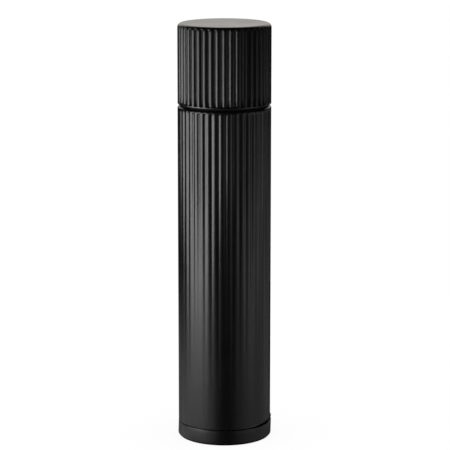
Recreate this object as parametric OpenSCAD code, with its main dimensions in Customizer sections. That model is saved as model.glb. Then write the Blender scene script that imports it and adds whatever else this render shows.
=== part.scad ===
// Slim fluted vacuum flask: a double-walled steel bottle, a screw-on cup and, under the cup,
// a screw-in pour stopper with a push button. Origin at the centre of the foot, +Z up, millimetres.

/* [Overall] */
// Height from the table to the top of the cup
total_h = 293; // [290:1:300]
// Diameter of the body and of the cup, over the lands between the flutes
body_d = 65; // [65:0.5:67]
// Height of the cup
cup_h = 55.7; // [55:0.1:57]
// Open gap between the cup's lower edge and the shoulder of the body
cup_gap = 1.1; // [0.9:0.1:1.5]
// Radius of the rounded edges of the cup and of the shoulder
edge_r = 2.2; // [1.5:0.1:2.6]

/* [Flutes] */
// Number of flutes round the body, and the same number round the cup
flute_count = 42; // [30:1:46]
// Depth of the body's flutes at their upper end
flute_depth = 0.7; // [0.5:0.1:0.9]
// Height above the table at which the body's flutes have faded out
flute_fade_z = 45; // [30:5:90]
// Depth of the cup's flutes
cup_flute_depth = 1.2; // [0.8:0.1:1.3]
// Radius of the round bottom of the cup's flutes
cup_flute_r = 1.5; // [1.3:0.1:1.7]
// Turn of the body's flutes about the axis, in degrees
flute_turn = -2.9; // [-4:0.1:4]
// Further turn of the cup's flutes when the cup is screwed tight, in degrees
cup_offset = 3.8; // [0:0.1:8]

/* [Body walls] */
// Thickness of the outer shell's wall, outside the flutes
shell_t = 1.6; // [1.5:0.1:1.7]
// Thickness of the sheet of the inner bottle, of the neck and of the bottom
sheet_t = 0.7; // [0.6:0.1:0.8]
// Width of the vacuum between the outer shell and the inner bottle
vacuum_gap = 1.7; // [1.5:0.1:1.8]
// Outer radius of the neck that carries the cup's thread
neck_r = 27.4; // [27.2:0.1:27.5]
// Height of the rim of the mouth above the shoulder
neck_h = 15.8; // [15:0.1:16.5]
// Inner radius of the mouth
mouth_r = 24.4; // [24.3:0.1:24.5]

/* [Base] */
// Height of the separate base cover
base_h = 11; // [10:0.5:13]
// How far the base cover stands proud of the body, on the radius
base_proud = 0.35; // [0.2:0.05:0.5]
// Height of the shadow gap between the base cover and the shell
base_gap = 0.5; // [0.5:0.1:1]
// Radius of the rubber foot
foot_r = 28; // [24:0.5:29]
// Height of the base cover's lower edge above the table
foot_proud = 0.2; // [0.2:0.1:0.8]

/* [Threads] */
// Rise of the cup's thread in one turn
cup_lead = 9; // [8:0.5:10]
// Rise of the stopper's thread in one turn
stopper_lead = 8; // [7:0.5:9]
// Height of a thread ridge at its root
ridge_h = 1.5; // [1.2:0.1:1.6]
// How far a thread ridge stands out of its wall
ridge_out = 1.1; // [1:0.05:1.15]

/* [Stopper] */
// Outer radius of the stopper's plug, under its thread
plug_r = 22.8; // [22.6:0.1:22.9]
// Depth of the plug below the rim of the mouth
plug_depth = 20.5; // [19:0.5:21]
// Radius of the stopper's flange
flange_r = 27.1; // [26.5:0.1:27.3]
// Height of the housing above the flange
housing_h = 8.2; // [8:0.1:8.6]
// Radius of the push button
button_r = 13.1; // [12:0.1:13.5]
// Travel of the push button
button_travel = 3.5; // [2.5:0.1:3.5]
// Radius of the pour channel through the plug
channel_r = 9; // [8:0.1:9.2]
// Travel of the release tabs
tab_travel = 1.2; // [0.8:0.1:1.4]

/* [Hidden] */
$fn = 96;
cut = 1;                                     // how far a cutter runs past what it cuts
body_r = body_d / 2;
cup_z = total_h - cup_h;
shoulder_z = cup_z - cup_gap;
rim_z = shoulder_z + neck_h;
shell_z = base_h + base_gap;                 // lower edge of the full-width shell
flute_top_z = shoulder_z + 0.5;              // the flutes run out in the rounded shoulder
flute_floor_w = 0.9;                         // width of the flat floor of a body flute
flute_slope = 1.4;                           // half width that a body flute gains per depth
flute_foot = 1;                              // smooth rim under the cup's flutes

// outer shell and the bottle inside it
shell_in_r = body_r - shell_t;
shoulder_t = 1.2;
neck_t = 0.8;
hem_r = 0.5;                                 // rounded lower edges of the shell and of the cup
skirt_r = body_r - 1.5;                      // necked-in skirt that the base cover is pushed on
skirt_t = 0.8;
skirt_z = 4.4;
bottle_r = shell_in_r - vacuum_gap;
bottle_z = skirt_z + 5;
bottle_corner = 7;
bottle_neck_r = mouth_r + sheet_t + 0.1;
bottle_shoulder_z = shoulder_z - 7;          // where the bottle's shoulder meets its neck
bottle_shoulder_h = 9;
rim_t = 1;
foil_t = 0.15;
foil_gap = 0.15;
foil_low_z = 24;
foil_high_z = bottle_shoulder_z - bottle_shoulder_h - 3;

// base
base_r = body_r + base_proud;
base_floor_t = 1.6;
foot_t = 1.8;
base_chamfer = 0.5;
base_bevel = 0.4;
base_fit = 0.1;                              // play of the skirt and of the foot in the cover
disc_z = skirt_z + 0.4;                      // underside of the outer bottom
vent_r = 3.2;                                // dished well round the evacuation hole
vent_hole_r = 0.8;
well_h = 1.8;
well_roof_z = disc_z + well_h - sheet_t;
bead_r = 3;

// cup
cup_wall_t = 1.8;
cup_top_t = 1.4;
liner_r = body_r - cup_wall_t - 0.1;
liner_t = 1.6;
liner_in_r = liner_r - liner_t;
foam_t = 1.4;
liner_top_z = total_h - cup_top_t - foam_t;
liner_foot_z = cup_z + 1.6;
seal_h = liner_foot_z - shoulder_z - 0.35;

// threads
ridge_root = 0.3;                            // how deep a ridge is sunk in its wall
ridge_tip = 0.55;                            // height of the ridge's tip, as a part of its root
ridge_step = 10;                             // turn of one facet of a ridge, in degrees
ridge_drop = ridge_h * (1 + ridge_tip) / 2 + 0.2;  // from a fixed ridge to the one under it
cup_starts = 2;
cup_turns = 0.8;
cup_ridge_z = shoulder_z + 4;                // where the neck's ridges start
stopper_starts = 2;
stopper_turns = 0.7;
stopper_ridge_z = rim_z - 11.5;              // where the mouth's ridges start

// stopper
gasket_t = 1.2;
flange_t = 2;
flange_z = rim_z + 0.15 + gasket_t;
deck_z = flange_z + flange_t;
deck_t = 1;
housing_r = 25.8;
housing_t = 1.8;
housing_top_z = deck_z + housing_h;
housing_top_t = 1.2;
plug_z = rim_z - plug_depth;
plug_t = 1.9;
plug_floor_t = 2;
channel_t = 1.4;
guide_z = rim_z - 6;                         // spider that guides the stem and seats the spring
guide_h = 3;
guide_r = 4.4;
guide_play = 0.25;
arm_w = 1.6;
button_play = 0.3;
button_wall_t = 1.5;
button_top_t = 1.9;
lip_h = 1.4;
lip_out = 1.3;
button_top_z = housing_top_z + button_travel;
lip_z = housing_top_z - housing_top_t - 0.2 - lip_h;
stem_r = 2.3;
hollow_top_z = button_top_z - button_top_t;  // ceiling inside the button
valve_r = 11.4;
valve_t = 2;
valve_seal_t = 0.9;
valve_z = plug_z - 0.1 - valve_seal_t - valve_t;
spring_r = 5.2;
spring_wire_r = 0.45;
spring_turns = 4;
pour_w = 16;
pour_h = 4.4;
vent_w = 6;
tab_w = 9;
tab_h = 3;
tab_play = 0.3;
tab_in_r = 17.5;
tab_out_r = housing_r + tab_travel;
tab_z = deck_z + deck_t + 1.1;

shell_black = "#1b1b1d";
steel = "#b9bcc0";
copper = "#b8734a";
plastic = "#2b2c2f";
silicone = "#d8d8d4";

function ridge_end(s) = min(1, s * 6, (1 - s) * 6) * 0.9 + 0.1;   // eases a ridge into its wall

// One helical ridge of trapezoid section. wall_r is the wall's radius; out is negative inwards.
module ridge(wall_r, out, lead, turns) {
    n = ceil(turns * 360 / ridge_step);
    sink = out > 0 ? -ridge_root : ridge_root;
    section = [for (i = [0 : n]) let (e = ridge_end(i / n), t = ridge_h * ridge_tip / 2)
        [[wall_r + sink, -ridge_h / 2], [wall_r + out * e, -t],
         [wall_r + out * e, t], [wall_r + sink, ridge_h / 2]]];
    points = [for (i = [0 : n]) for (p = section[i]) let (a = i * ridge_step)
        [p[0] * cos(a), p[0] * sin(a), p[1] + lead * a / 360]];
    sides = [for (i = [0 : n - 1]) for (j = [0 : 3]) let (a = 4 * i + j, b = 4 * i + (j + 1) % 4)
        for (f = [[a, a + 4, b], [b, a + 4, b + 4]]) f];
    ends = [[0, 1, 2], [0, 2, 3], [4 * n, 4 * n + 2, 4 * n + 1], [4 * n, 4 * n + 3, 4 * n + 2]];
    faces = [for (f = concat(sides, ends)) out > 0 ? [f[0], f[2], f[1]] : f];
    polyhedron(points = points, faces = faces);
}

module ridges(wall_r, out, lead, turns, starts, z) {
    for (k = [0 : starts - 1]) translate([0, 0, z]) rotate([0, 0, k * 360 / starts])
        ridge(wall_r, out, lead, turns);
}

// A flat ring, or a tube
module ring(outer_r, inner_r, z, h) {
    translate([0, 0, z]) difference() {
        cylinder(r = outer_r, h = h);
        translate([0, 0, -cut]) cylinder(r = inner_r, h = h + 2 * cut);
    }
}

// Half section of a round-cornered drum, for rotate_extrude: radius r, from z0 to z1,
// with its lower corner rounded by low and its upper corner by high
module drum_section(r, z0, z1, low, high) {
    difference() {
        translate([0, z0]) square([r, z1 - z0]);
        if (low > 0) difference() {
            translate([r - low, z0 - cut]) square([low + cut, low + cut]);
            translate([r - low, z0 + low]) circle(r = low);
        }
        if (high > 0) difference() {
            translate([r - high, z1 - high]) square([high + cut, high + cut]);
            translate([r - high, z1 - high]) circle(r = high);
        }
    }
}

// Round-bottomed cutters of the cup's flutes, parallel to its wall, which run out in its top edge
module cup_flutes() {
    z0 = cup_z + flute_foot;
    for (i = [0 : flute_count - 1])
        rotate([0, 0, flute_turn + cup_offset + i * 360 / flute_count])
            translate([body_r + cup_flute_r - cup_flute_depth, 0, z0])
                cylinder(r = cup_flute_r, h = total_h - z0 + cut);
}

// Cutters of the body's flutes, leaning outwards as they go down, so that the flutes fade out
module body_flutes() {
    clear = 0.3;                             // how far a cutter has left the wall at its lower end
    length = flute_top_z - flute_fade_z;
    reach = 2;
    half = flute_floor_w / 2;
    lean = atan((flute_depth + clear) / length);
    for (i = [0 : flute_count - 1]) rotate([0, 0, flute_turn + i * 360 / flute_count])
        translate([body_r - flute_depth, 0, flute_top_z]) rotate([180, -lean, 0])
            linear_extrude(length) polygon([[0, -half], [0, half],
                [reach, half + reach * flute_slope], [reach, -half - reach * flute_slope]]);
}

// Fluted outer wall with its shoulder, the neck with the cup's thread and the lower skirt
module outer_shell() color(shell_black) union() {
    difference() {
        rotate_extrude() difference() {
            union() {
                drum_section(body_r, shell_z, shoulder_z, hem_r, edge_r);
                translate([0, skirt_z]) square([skirt_r, shoulder_z - skirt_z - cut]);
                translate([0, shoulder_z - cut]) square([neck_r, rim_z - rim_t - shoulder_z + cut]);
            }
            translate([-cut, skirt_z - cut]) square([skirt_r - skirt_t + cut, shell_z + 2 * cut]);
            translate([-cut, shell_z]) square([shell_in_r + cut, shoulder_z - shoulder_t - shell_z]);
            translate([-cut, shell_z]) square([neck_r - neck_t + cut, rim_z]);
        }
        body_flutes();
    }
    ridges(neck_r, ridge_out, cup_lead, cup_turns, cup_starts, cup_ridge_z);
}

// Disc welded into the skirt, with a well for the evacuation hole
module outer_bottom() color(steel) difference() {
    union() {
        translate([0, 0, disc_z]) cylinder(r = skirt_r - skirt_t, h = sheet_t);
        translate([0, 0, disc_z]) cylinder(r = vent_r + sheet_t, h = well_h);
    }
    translate([0, 0, disc_z - cut]) cylinder(r = vent_r, h = well_h - sheet_t + cut);
    translate([0, 0, disc_z]) cylinder(r = vent_hole_r, h = well_h + cut);
}

// Bead of brazing glass that closes the evacuation hole
module vacuum_seal() color("#8f8466") intersection() {
    translate([0, 0, well_roof_z + 1.3]) sphere(r = bead_r);
    translate([0, 0, well_roof_z - 2]) cylinder(r = vent_r - 0.3, h = 2);
}

// Pellet that takes up the last gas in the vacuum, in a small dish on the outer bottom
module getter() color("#77706a") translate([14, 0, disc_z + sheet_t]) union() {
    cylinder(r = 4, h = 0.5);
    translate([0, 0, 0.5]) cylinder(r = 3.1, h = 1.4);
}

// Drawn inner bottle, with its neck, the rolled rim and the stopper's thread
module inner_bottle() color(steel) union() {
    rotate_extrude() difference() {
        union() {
            bottle_section(0);
            translate([0, rim_z - rim_t]) square([neck_r, rim_t]);
        }
        bottle_section(sheet_t);
    }
    ridges(mouth_r, -ridge_out, stopper_lead, stopper_turns, stopper_starts, stopper_ridge_z);
}

// Half section of the bottle's outer surface, or with t of its inner surface
module bottle_section(t) {
    r = bottle_r - t;
    neck = t > 0 ? mouth_r : bottle_neck_r;
    low = bottle_z + t;
    bend = bottle_shoulder_z - bottle_shoulder_h - (t > 0 ? 0.3 : 0);
    union() {
        drum_section(r, low, bend, bottle_corner - t, 0);
        polygon([[0, bend - cut], [r, bend - cut], [r, bend], [neck, bottle_shoulder_z - t],
            [neck, rim_z + (t > 0 ? cut : 0)], [0, rim_z + (t > 0 ? cut : 0)]]);
    }
}

// Foil wrapped round the inner bottle in the vacuum
module copper_foil() color(copper)
    ring(bottle_r + foil_gap + foil_t, bottle_r + foil_gap, foil_low_z, foil_high_z - foil_low_z);

// Cover pushed on to the skirt, with a recess underneath for the foot
module base_cover() color(shell_black) rotate_extrude() difference() {
    polygon([[0, foot_proud], [base_r - base_chamfer, foot_proud],
        [base_r, foot_proud + base_chamfer], [base_r, base_h - base_bevel],
        [base_r - base_bevel, base_h], [0, base_h]]);
    translate([-cut, foot_t + base_floor_t]) square([skirt_r + base_fit + cut, base_h]);
    translate([-cut, -cut]) square([foot_r + base_fit + cut, foot_t + cut]);
}

// Rubber disc that the flask stands on, with a shallow hollow in the middle
module base_foot() color("#26262a") rotate_extrude() difference() {
    square([foot_r, foot_t]);
    translate([-cut, -cut]) square([foot_r - 6 + cut, 0.6 + cut]);
    polygon([[foot_r - 0.6, -cut], [foot_r + cut, -cut], [foot_r + cut, 0.6], [foot_r, 0.6],
        [foot_r - 0.6, 0]]);
}

// Fluted outer wall of the cup, closed at the top
module cup_shell() color(shell_black) difference() {
    rotate_extrude() difference() {
        drum_section(body_r, cup_z, total_h, hem_r, edge_r);
        translate([-cut, cup_z - cut])
            square([body_r - cup_wall_t + cut, cup_h - cup_top_t + cut]);
    }
    cup_flutes();
}

// Inner wall of the cup, one moulding with the cup's thread
module cup_liner() color(plastic) union() {
    rotate_extrude() difference() {
        drum_section(liner_r, liner_foot_z, liner_top_z, 0, 2);
        drum_section(liner_in_r, liner_foot_z - cut, liner_top_z - liner_t, 0, 3);
    }
    rotate([0, 0, 90]) ridges(liner_in_r, -ridge_out, cup_lead, cup_turns, cup_starts,
        cup_ridge_z + cup_lead / 4 - ridge_drop);
}

// Foam disc between the cup's top and the liner
module cup_insulation() color("#e4e2da") translate([0, 0, liner_top_z])
    cylinder(r = liner_r - 3, h = foam_t);

// Soft ring under the liner that seals the cup on the shoulder
module cup_seal_ring() color(silicone) ring(liner_r - 0.1,
    neck_r + ridge_out + 0.35, shoulder_z + 0.3, seal_h);

// Threaded plug with its flange, the pour channel and the stem's guide
module stopper_body() color(plastic) union() {
    difference() {
        union() {
            translate([0, 0, plug_z]) cylinder(r = plug_r, h = flange_z - plug_z + flange_t);
            translate([0, 0, flange_z]) cylinder(r = flange_r, h = flange_t);
        }
        ring(plug_r - plug_t, channel_r + channel_t, plug_z + plug_floor_t, deck_z);
        translate([0, 0, plug_z - cut]) cylinder(r = channel_r, h = deck_z);
    }
    for (a = [0, 120, 240]) rotate([0, 0, a]) translate([guide_r - 0.6, -arm_w / 2, guide_z])
        cube([channel_r - guide_r + 1.2, arm_w, guide_h]);
    ring(guide_r, stem_r + guide_play, guide_z, guide_h);
    ridges(plug_r, ridge_out, stopper_lead, stopper_turns, stopper_starts,
        stopper_ridge_z - ridge_drop);
}

// Foam in the closed space round the pour channel
module stopper_insulation() color("#e4e2da")
    ring(plug_r - plug_t - 0.2, channel_r + channel_t + 0.2, plug_z + plug_floor_t + 0.2,
        deck_z - plug_z - plug_floor_t - 0.4);

// Upper housing, with the pour slot in front, the air slot behind and a tab slot on each side
module stopper_housing() color(plastic) difference() {
    union() {
        ring(housing_r, channel_r, deck_z, deck_t);
        ring(housing_r, housing_r - housing_t, deck_z, housing_h);
        ring(housing_r - 1, button_r + button_play, housing_top_z - housing_top_t, housing_top_t);
    }
    translate([-pour_w / 2, -housing_r - cut, deck_z + deck_t]) cube([pour_w, 6, pour_h]);
    translate([-vent_w / 2, housing_r - 6 + cut, deck_z + deck_t]) cube([vent_w, 6, pour_h / 2]);
    for (side = [0, 180]) rotate([0, 0, side])
        translate([housing_r - 4, -tab_w / 2 - tab_play, tab_z - tab_play])
            cube([6, tab_w + 2 * tab_play, tab_h + 2 * tab_play]);
}

// Soft ring between the flange and the rim of the mouth
module stopper_gasket() color(silicone) ring(flange_r - 0.3, plug_r + 0.4, rim_z + 0.15, gasket_t);

// Button with a lip that keeps it in the housing
module push_button() color("#3a3b3f") rotate_extrude() difference() {
    union() {
        drum_section(button_r, lip_z, button_top_z, 0, 1.2);
        translate([0, lip_z]) square([button_r + lip_out, lip_h]);
    }
    translate([-cut, lip_z - cut])
        square([button_r - button_wall_t + cut, hollow_top_z - lip_z + cut]);
}

// Coil of a compression spring between the guide and the button
module button_spring() color(steel) {
    z0 = guide_z + guide_h + spring_wire_r + 0.05;
    z1 = hollow_top_z - spring_wire_r - 0.05;
    steps = spring_turns * 18;
    sides = 6;
    points = [for (i = [0 : steps]) for (j = [0 : sides - 1])
        let (a = i * 360 / 18, b = j * 360 / sides, r = spring_r + spring_wire_r * cos(b))
        [r * cos(a), r * sin(a), z0 + (z1 - z0) * i / steps + spring_wire_r * sin(b)]];
    tube = [for (i = [0 : steps - 1]) for (j = [0 : sides - 1])
        let (p = sides * i + j, q = sides * i + (j + 1) % sides)
        for (f = [[p, q, p + sides], [q, q + sides, p + sides]]) f];
    last = sides * steps;
    caps = [for (j = [1 : sides - 2]) for (f = [[0, j + 1, j], [last, last + j, last + j + 1]]) f];
    polyhedron(points = points, faces = concat(tube, caps));
}

// Rod from the button to the valve
module valve_stem() color(steel)
    translate([0, 0, valve_z + valve_t]) cylinder(r = stem_r, h = hollow_top_z - valve_z - valve_t);

// Disc that closes the pour channel from below
module valve_disc() color(plastic) rotate_extrude()
    drum_section(valve_r, valve_z, valve_z + valve_t, 1, 0);

// Soft ring on the valve disc
module valve_seal() color(silicone) ring(valve_r - 0.2, stem_r + 0.2, valve_z + valve_t, valve_seal_t);

// Tab that frees the latched button when it is squeezed in, pointing along +X
module release_tab() color("#3a3b3f")
    translate([tab_in_r, -tab_w / 2, tab_z]) cube([tab_out_r - tab_in_r, tab_w, tab_h]);

module release_tab_left() rotate([0, 0, 180]) release_tab();

module release_tab_right() release_tab();

outer_shell();
outer_bottom();
inner_bottle();
copper_foil();
getter();
vacuum_seal();
base_cover();
base_foot();
cup_shell();
cup_liner();
cup_insulation();
cup_seal_ring();
stopper_body();
stopper_insulation();
stopper_housing();
stopper_gasket();
push_button();
button_spring();
valve_stem();
valve_disc();
valve_seal();
release_tab_left();
release_tab_right();
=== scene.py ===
import math

import bpy
import numpy as np
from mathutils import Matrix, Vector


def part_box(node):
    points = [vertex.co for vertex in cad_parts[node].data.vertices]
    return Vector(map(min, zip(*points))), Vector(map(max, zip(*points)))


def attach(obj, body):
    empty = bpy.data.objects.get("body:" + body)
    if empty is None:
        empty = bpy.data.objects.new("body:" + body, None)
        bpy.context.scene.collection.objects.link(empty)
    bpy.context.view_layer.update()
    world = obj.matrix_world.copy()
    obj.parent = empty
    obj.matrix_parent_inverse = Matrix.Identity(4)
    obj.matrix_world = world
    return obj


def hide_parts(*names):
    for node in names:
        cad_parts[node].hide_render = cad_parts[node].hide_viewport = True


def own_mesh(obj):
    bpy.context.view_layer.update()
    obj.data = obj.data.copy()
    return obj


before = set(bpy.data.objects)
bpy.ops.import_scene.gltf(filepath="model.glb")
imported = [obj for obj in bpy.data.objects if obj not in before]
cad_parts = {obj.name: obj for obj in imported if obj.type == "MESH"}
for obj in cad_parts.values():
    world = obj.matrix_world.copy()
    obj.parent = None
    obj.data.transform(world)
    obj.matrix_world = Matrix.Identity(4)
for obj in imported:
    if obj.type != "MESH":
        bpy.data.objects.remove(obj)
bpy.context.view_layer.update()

MM = 0.001


# ---------------------------------------------------------------------------------------------
# Outer shell. A drawn steel tube, pressed into forty-two flutes that are deepest under the
# rounded shoulder and fade out towards the base, then powder-coated black. Its bare neck
# carries the cup's thread, and its necked-in skirt takes the base cover.

FLUTES = 42
shell_low, shell_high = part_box("outer_shell")
body_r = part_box("cup_shell")[1].x
shoulder_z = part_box("cup_seal_ring")[0].z - 0.3 * MM
shell_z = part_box("base_cover")[1].z + 0.15 * MM
body_edge_r = 2.2 * MM
flute_turn = math.radians(-2.9)
thread_out = 1.1 * MM


def rounded(corners, steps=7):
    """Outline of straight lines through corners (r, z, radius): each corner becomes an arc that
    touches both lines, from the tangent length radius / tan(half the corner's angle)."""
    corners = np.array(corners, float)
    out = []
    for before, here, after in zip(np.roll(corners, 1, 0), corners, np.roll(corners, -1, 0)):
        if here[2] == 0:
            out.append(here[None, :2])
            continue
        a = before[:2] - here[:2]
        b = after[:2] - here[:2]
        a /= np.linalg.norm(a)
        b /= np.linalg.norm(b)
        half = math.acos(np.clip(a @ b, -1, 1)) / 2
        middle = here[:2] + (a + b) / np.linalg.norm(a + b) * here[2] / math.sin(half)
        first = here[:2] + a * here[2] / math.tan(half) - middle
        last = here[:2] + b * here[2] / math.tan(half) - middle
        turn = math.atan2(first[0] * last[1] - first[1] * last[0], first @ last)
        angle = np.linspace(0, turn, steps) + math.atan2(first[1], first[0])
        out.append(middle + here[2] * np.stack([np.cos(angle), np.sin(angle)], 1))
    return np.concatenate(out)


def spun(r, z, angles):
    """Grid of points (r cos t, r sin t, z): rows follow r and z, and columns the angles t."""
    return np.stack([r * np.cos(angles), r * np.sin(angles), z + 0 * angles], 2)


def at_angles(outline, angles):
    """Grid of an outline of points (r, z) that stands at each of the given angles."""
    return spun(outline[:, 0, None], outline[:, 1, None], angles)


def revolve(outline, around=192):
    """Grid of an outline carried round the axis in equal steps."""
    return at_angles(outline, np.linspace(0, 2 * np.pi, around, endpoint=False))


def tipped(grid):
    """The grid with one more row at each end, whose points all lie in the end row's middle."""
    tips = grid[[0, -1]].mean(1, keepdims=True) + 0 * grid[[0, -1]]
    return np.concatenate([tips[:1], grid, tips[1:]])


def thread(wall_r, out, lead, turns, start, z, ridge_h=1.5 * MM, root=0.3 * MM):
    """One helical ridge: a round-topped section, at angle a and height z + lead a / (2 pi). It
    stands out of the wall by out, easing to nothing over its first and last sixths of a turn."""
    rows, sides = int(96 * turns), 14
    s = np.linspace(0, 1, rows)[:, None]
    ease = np.clip(np.minimum(s, 1 - s) * turns * 6, 0, 1)
    ease = ease * ease * (3 - 2 * ease) * 0.95 + 0.05
    b = -np.linspace(0, 2 * np.pi, sides, endpoint=False)[None, :] * np.sign(out)
    swell = np.clip(0.5 + 0.72 * np.cos(b), 0, 1)
    r = wall_r - np.sign(out) * root + (out * ease + np.sign(out) * root) * swell
    a = start + s * turns * 2 * np.pi
    height = z + lead * s * turns + ridge_h / 2 * np.sin(b) * (1 - 0.35 * swell)
    return tipped(spun(r, height, a))


def skin(name, *grids):
    """One mesh of several closed grids. Rows follow an outline and columns go round it. A grid
    whose first and last rows are each one point is capped there; any other closes row to row."""
    points, faces, base = [], [], 0
    for grid in grids:
        rows, cols = grid.shape[:2]
        capped = np.ptp(grid[0], 0).max() < 1e-9
        j = np.arange(cols)
        k = np.roll(j, -1)
        if capped:
            ring = grid[1:-1]
            i = np.arange(rows - 3)[:, None] * cols
            quads = np.stack([i + j, i + k, i + k + cols, i + j + cols], 2).reshape(-1, 4)
            pole = (rows - 2) * cols
            last = (rows - 3) * cols
            low = np.stack([j, np.full(cols, pole), k], 1)
            high = np.stack([last + j, last + k, np.full(cols, pole + 1)], 1)
            verts = np.concatenate([ring.reshape(-1, 3), grid[0, :1], grid[-1, :1]])
            new = [*(quads + base).tolist(), *(low + base).tolist(), *(high + base).tolist()]
        else:
            i = np.arange(rows)[:, None] * cols
            n = np.roll(i, -1, 0)
            quads = np.stack([i + j, i + k, n + k, n + j], 2).reshape(-1, 4)
            verts = grid.reshape(-1, 3)
            new = (quads + base).tolist()
        points.append(verts)
        faces += new
        base += len(verts)
    mesh = bpy.data.meshes.new(name)
    mesh.from_pydata(np.concatenate(points).tolist(), [], faces)
    mesh.shade_smooth()
    mesh.validate()
    piece = bpy.data.objects.new(name, mesh)
    bpy.context.scene.collection.objects.link(piece)
    return piece


def flute_columns(turn, per_flute=14):
    """Angles round the wall, and how far each is from its flute's middle in half pitches: q, evenly
    from -1 to 1, to the power 1.35, so that they crowd towards the bottom of each flute."""
    q = (np.arange(per_flute) + 0.5) / per_flute * 2 - 1
    v = np.sign(q) * np.abs(q) ** 1.35
    pitch = 2 * np.pi / FLUTES
    angle = (np.arange(FLUTES)[:, None] * pitch + v * pitch / 2).ravel() + turn
    return angle, np.tile(np.abs(v), FLUTES)


def flute_depth(v, slope, land):
    """Depth under the lands at v half pitches from a flute's middle. The land is an arc over the
    share land of the half pitch and the flute's bottom an arc over the rest; both have the
    steepest slope where they meet, so each arc's radius is its half width over sin(slope)."""
    half = np.pi * body_r / FLUTES
    s = half * (1 - np.clip(v, 0, 1))
    edge = half * land
    land_r = edge / np.sin(slope)
    floor_r = (half - edge) / np.sin(slope)
    on_land = land_r - np.sqrt(np.maximum(land_r**2 - np.minimum(s, edge) ** 2, 0))
    deepest = half * np.tan(slope / 2)
    in_floor = deepest - floor_r + np.sqrt(
        np.maximum(floor_r**2 - (half - np.maximum(s, edge)) ** 2, 0))
    return np.where(s < edge, on_land, in_floor)


def wall_to_edge(angle, z, top_z, edge_r, arch, depth_at):
    """Grid of a fluted wall over the heights z and on round the edge under top_z. The share past
    grows from 0 to 1 over arch, two distances along the edge from where it starts, where the
    flutes' round ends are. Each point is sunk along the plain surface's normal by
    depth_at(past, height)."""
    bend = np.linspace(0, math.pi / 2, 34)
    z = np.concatenate([z, top_z - edge_r + edge_r * np.sin(bend)])
    tilt = np.concatenate([0 * z[:-len(bend)], bend])[:, None]
    r = body_r - edge_r * (1 - np.cos(tilt))
    z = z[:, None]
    along = np.where(tilt > 0, edge_r * tilt, z - (top_z - edge_r))
    past = np.clip((along - arch[0]) / (arch[1] - arch[0]), 0, 1)
    deep = depth_at(past, z)
    return spun(r - deep * np.cos(tilt), z - deep * np.sin(tilt), angle)


def body_wall():
    """Grid and angles of the wall from foot_z, just over its lower edge, up over the shoulder's
    edge. The flutes' depth is a mix of a square and a straight law of the height up to full_z,
    and full from there up."""
    angle, v = flute_columns(flute_turn)
    foot_z, full_z = 14 * MM, 192 * MM
    arches_z, edge_z = shoulder_z - 4.5 * MM, shoulder_z - body_edge_r
    steepest, land = math.radians(31), 0.7
    z = np.concatenate([np.linspace(foot_z, full_z, 52, endpoint=False),
                        np.linspace(full_z, arches_z, 8, endpoint=False),
                        np.linspace(arches_z, edge_z, 8, endpoint=False)])

    def depth_at(past, height):
        rise = np.clip((height - foot_z) / (full_z - foot_z), 0.004, 1)
        deep = math.tan(steepest / 2) * (0.7 * rise**2 + 0.3 * rise)
        return flute_depth(np.sqrt(v**2 + past**2), 2 * np.arctan(deep), land)

    arch = (-1.2 * MM, 1.5 * MM)
    return wall_to_edge(angle, z, shoulder_z, body_edge_r, arch, depth_at), angle


wall, wall_angles = body_wall()
neck_r = 27.4 * MM
skirt_r = body_r - 1.5 * MM
shell_in = body_r - 1.6 * MM
neck_in = neck_r - 0.8 * MM
skirt_in = skirt_r - 0.8 * MM
ceiling = shoulder_z - 1.2 * MM
neck_to_hem = rounded([
    (body_r - body_edge_r, shoulder_z, 0), (neck_r, shoulder_z, 0.5 * MM),
    (neck_r, shell_high.z, 0.15 * MM), (neck_in, shell_high.z, 0.15 * MM), (neck_in, ceiling, 0),
    (shell_in, ceiling, 0), (shell_in, shell_z, 0), (skirt_in, shell_z, 0),
    (skirt_in, shell_low.z, 0.15 * MM), (skirt_r, shell_low.z, 0.15 * MM), (skirt_r, shell_z, 0),
    (body_r, shell_z, 0.35 * MM), (body_r, shell_z + 0.6 * MM, 0),
    (body_r, shell_z + 1.2 * MM, 0)], 9)[1:]


def sprung(grid):
    """The shell's lower edge as it sits: on the +X side, where x / r passes 0.55, it has sprung up
    and out, by amounts that fade upwards as squares."""
    sprung_up, up_fade = 2.1 * MM, 12 * MM
    sprung_out, out_fade = 0.8 * MM, 2.2 * MM
    x, y, z = np.moveaxis(grid, 2, 0)
    r = np.hypot(x, y)
    side = np.clip((x / r - 0.55) / 0.45, 0, 1) * (r > skirt_r + 0.3 * MM)
    rise = sprung_up * side * np.clip(1 - (z - shell_z) / up_fade, 0, 1) ** 2
    wide = 1 + sprung_out * side * np.clip(1 - (z - shell_z) / out_fade, 0, 1) ** 2 / r
    return np.stack([x * wide, y * wide, z + rise], 2)


cup_lead = 9 * MM
cup_thread_turns = 0.8
neck_thread_z = shoulder_z + 4 * MM
neck_thread = [thread(neck_r, thread_out, cup_lead, cup_thread_turns, turn, neck_thread_z)
               for turn in (0, math.pi)]
body_loop = np.concatenate([wall, at_angles(neck_to_hem, wall_angles)])
body_shell = skin("body_shell", sprung(body_loop), *neck_thread)


def group(name, inputs, outputs):
    """An empty shader node group with its input and output sockets, and its two end nodes."""
    tree = bpy.data.node_groups.new(name, "ShaderNodeTree")
    for label, kind, value in inputs:
        socket = tree.interface.new_socket(label, in_out="INPUT", socket_type=kind)
        if value is not None:
            socket.default_value = value
    for label, kind in outputs:
        tree.interface.new_socket(label, in_out="OUTPUT", socket_type=kind)
    return tree, tree.nodes.new("NodeGroupInput"), tree.nodes.new("NodeGroupOutput")


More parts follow.
